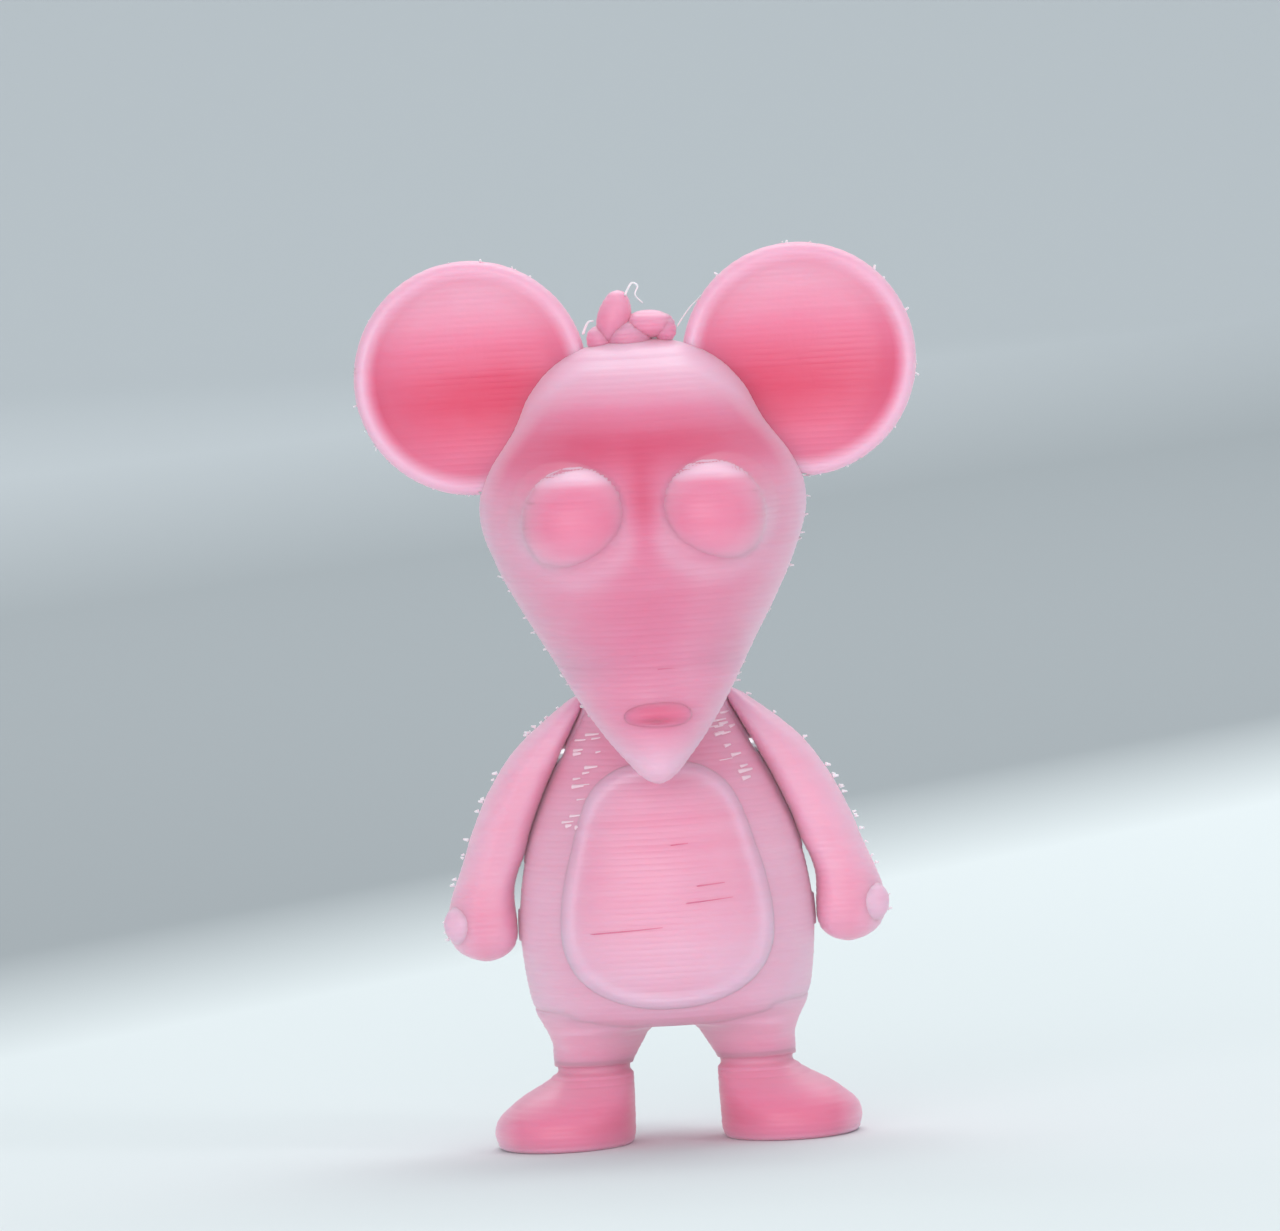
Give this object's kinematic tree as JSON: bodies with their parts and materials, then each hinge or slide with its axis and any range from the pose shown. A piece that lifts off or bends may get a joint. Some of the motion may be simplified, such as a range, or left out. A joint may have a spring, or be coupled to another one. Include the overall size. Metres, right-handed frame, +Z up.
{
  "type": "wind-up mouse figure",
  "caption": "Standing wind-up mouse with round ears and a pear body that waddles on sliding legs, with its gear train, spring and key.",
  "frame": {"origin": "on the floor, at the middle of the object's box seen from above", "axes": "+Z up, the mouse faces -Y, its left hand at +X"},
  "size_m": [0.038, 0.0332, 0.06],
  "materials": {
    "body_pink": "translucent pink printed plastic with fine horizontal layer lines",
    "deep_pink": "the same plastic where it is thick or dished and reads deeper",
    "pale_pink": "the same plastic where it is thin and reads paler",
    "brass": "plain rolled brass",
    "steel": "plain bright steel",
    "spring_steel": "blued spring steel"
  },
  "bodies": {
    "root": {"torso_front": "body_pink", "torso_back": "body_pink", "belly_panel": "pale_pink", "front_plate": "brass", "rear_plate": "brass", "pillar_1": "brass", "pillar_2": "brass", "pillar_3": "brass", "rocker_pivot": "steel", "mainspring": "spring_steel", "body_screw_1": "steel", "body_screw_2": "steel", "body_screw_3": "steel", "body_screw_4": "steel"},
    "head": {"head_front": "body_pink", "head_back": "body_pink", "neck_post": "body_pink", "nose": "deep_pink", "hair_tuft": "pale_pink", "left_ear": "deep_pink", "right_ear": "deep_pink", "left_eye": "pale_pink", "right_eye": "pale_pink"},
    "left_arm": {"left_arm": "body_pink", "left_shoulder_pin": "steel"},
    "right_arm": {"right_arm": "body_pink", "right_shoulder_pin": "steel"},
    "left_leg": {"left_leg": "deep_pink"},
    "right_leg": {"right_leg": "deep_pink"},
    "rocker": {"rocker_beam": "brass"},
    "winder": {"winding_key": "steel", "winding_arbor": "steel", "ratchet_wheel": "steel"},
    "great_wheel": {"great_wheel": "brass", "click_spring": "spring_steel"},
    "click": {"click": "steel"},
    "second_wheel": {"second_arbor": "steel", "second_wheel": "brass"},
    "escape_wheel": {"escape_arbor": "steel", "escape_wheel": "brass"},
    "pallet": {"pallet": "steel", "pallet_arbor": "steel"},
    "crank": {"output_arbor": "steel", "crank_disc": "steel"}
  },
  "joints": [
    {"name": "head_turn", "type": "hinge", "parent": "root", "child": "head", "pos_m": [0, 0, 0.0316], "axis": [0, 0, 1], "range_deg": [-20, 20]},
    {"name": "left_arm_swing", "type": "hinge", "parent": "root", "child": "left_arm", "pos_m": [0.007, 0, 0.0265], "axis": [-1, 0, 0], "range_deg": [-35, 60]},
    {"name": "right_arm_swing", "type": "hinge", "parent": "root", "child": "right_arm", "pos_m": [-0.007, 0, 0.0265], "axis": [-1, 0, 0], "range_deg": [-35, 60]},
    {"name": "rocker_swing", "type": "hinge", "parent": "root", "child": "rocker", "pos_m": [0, 0, 0.015], "axis": [0, 1, 0], "range_deg": [-6.5, 6.5]},
    {"name": "left_leg_lift", "type": "slide", "parent": "root", "child": "left_leg", "axis": [0, 0, 1], "range_m": [-0.00057, 0.00057]},
    {"name": "right_leg_lift", "type": "slide", "parent": "root", "child": "right_leg", "axis": [0, 0, 1], "range_m": [-0.00058, 0.00058]},
    {"name": "key_turn", "type": "hinge", "parent": "root", "child": "winder", "pos_m": [0, 0, 0.0176], "axis": [0, 1, 0], "continuous": true},
    {"name": "great_wheel_turn", "type": "hinge", "parent": "root", "child": "great_wheel", "pos_m": [0, 0, 0.0176], "axis": [0, 1, 0], "continuous": true},
    {"name": "click_lift", "type": "hinge", "parent": "great_wheel", "child": "click", "pos_m": [0.0018, 0, 0.02072], "axis": [0, -1, 0], "range_deg": [0, 8], "stiffness_Nm_per_rad": 0.0001},
    {"name": "second_wheel_turn", "type": "hinge", "parent": "root", "child": "second_wheel", "pos_m": [0, 0, 0.02425], "axis": [0, 1, 0], "continuous": true},
    {"name": "escape_wheel_turn", "type": "hinge", "parent": "root", "child": "escape_wheel", "pos_m": [0.00454, 0, 0.02241], "axis": [0, 1, 0], "continuous": true},
    {"name": "pallet_rock", "type": "hinge", "parent": "root", "child": "pallet", "pos_m": [0.00263, 0, 0.02432], "axis": [0, 1, 0], "range_deg": [-3, 3]},
    {"name": "crank_turn", "type": "hinge", "parent": "root", "child": "crank", "pos_m": [0, 0, 0.0106], "axis": [0, 1, 0], "continuous": true}
  ],
  "couplings": [
    {"joint": "rocker_swing", "follows": "left_leg_lift", "rad_per_m": -200},
    {"joint": "right_leg_lift", "follows": "left_leg_lift", "ratio": -1},
    {"joint": "second_wheel_turn", "follows": "great_wheel_turn", "ratio": -3.75},
    {"joint": "escape_wheel_turn", "follows": "great_wheel_turn", "ratio": 9.375},
    {"joint": "crank_turn", "follows": "great_wheel_turn", "ratio": -3}
  ]
}
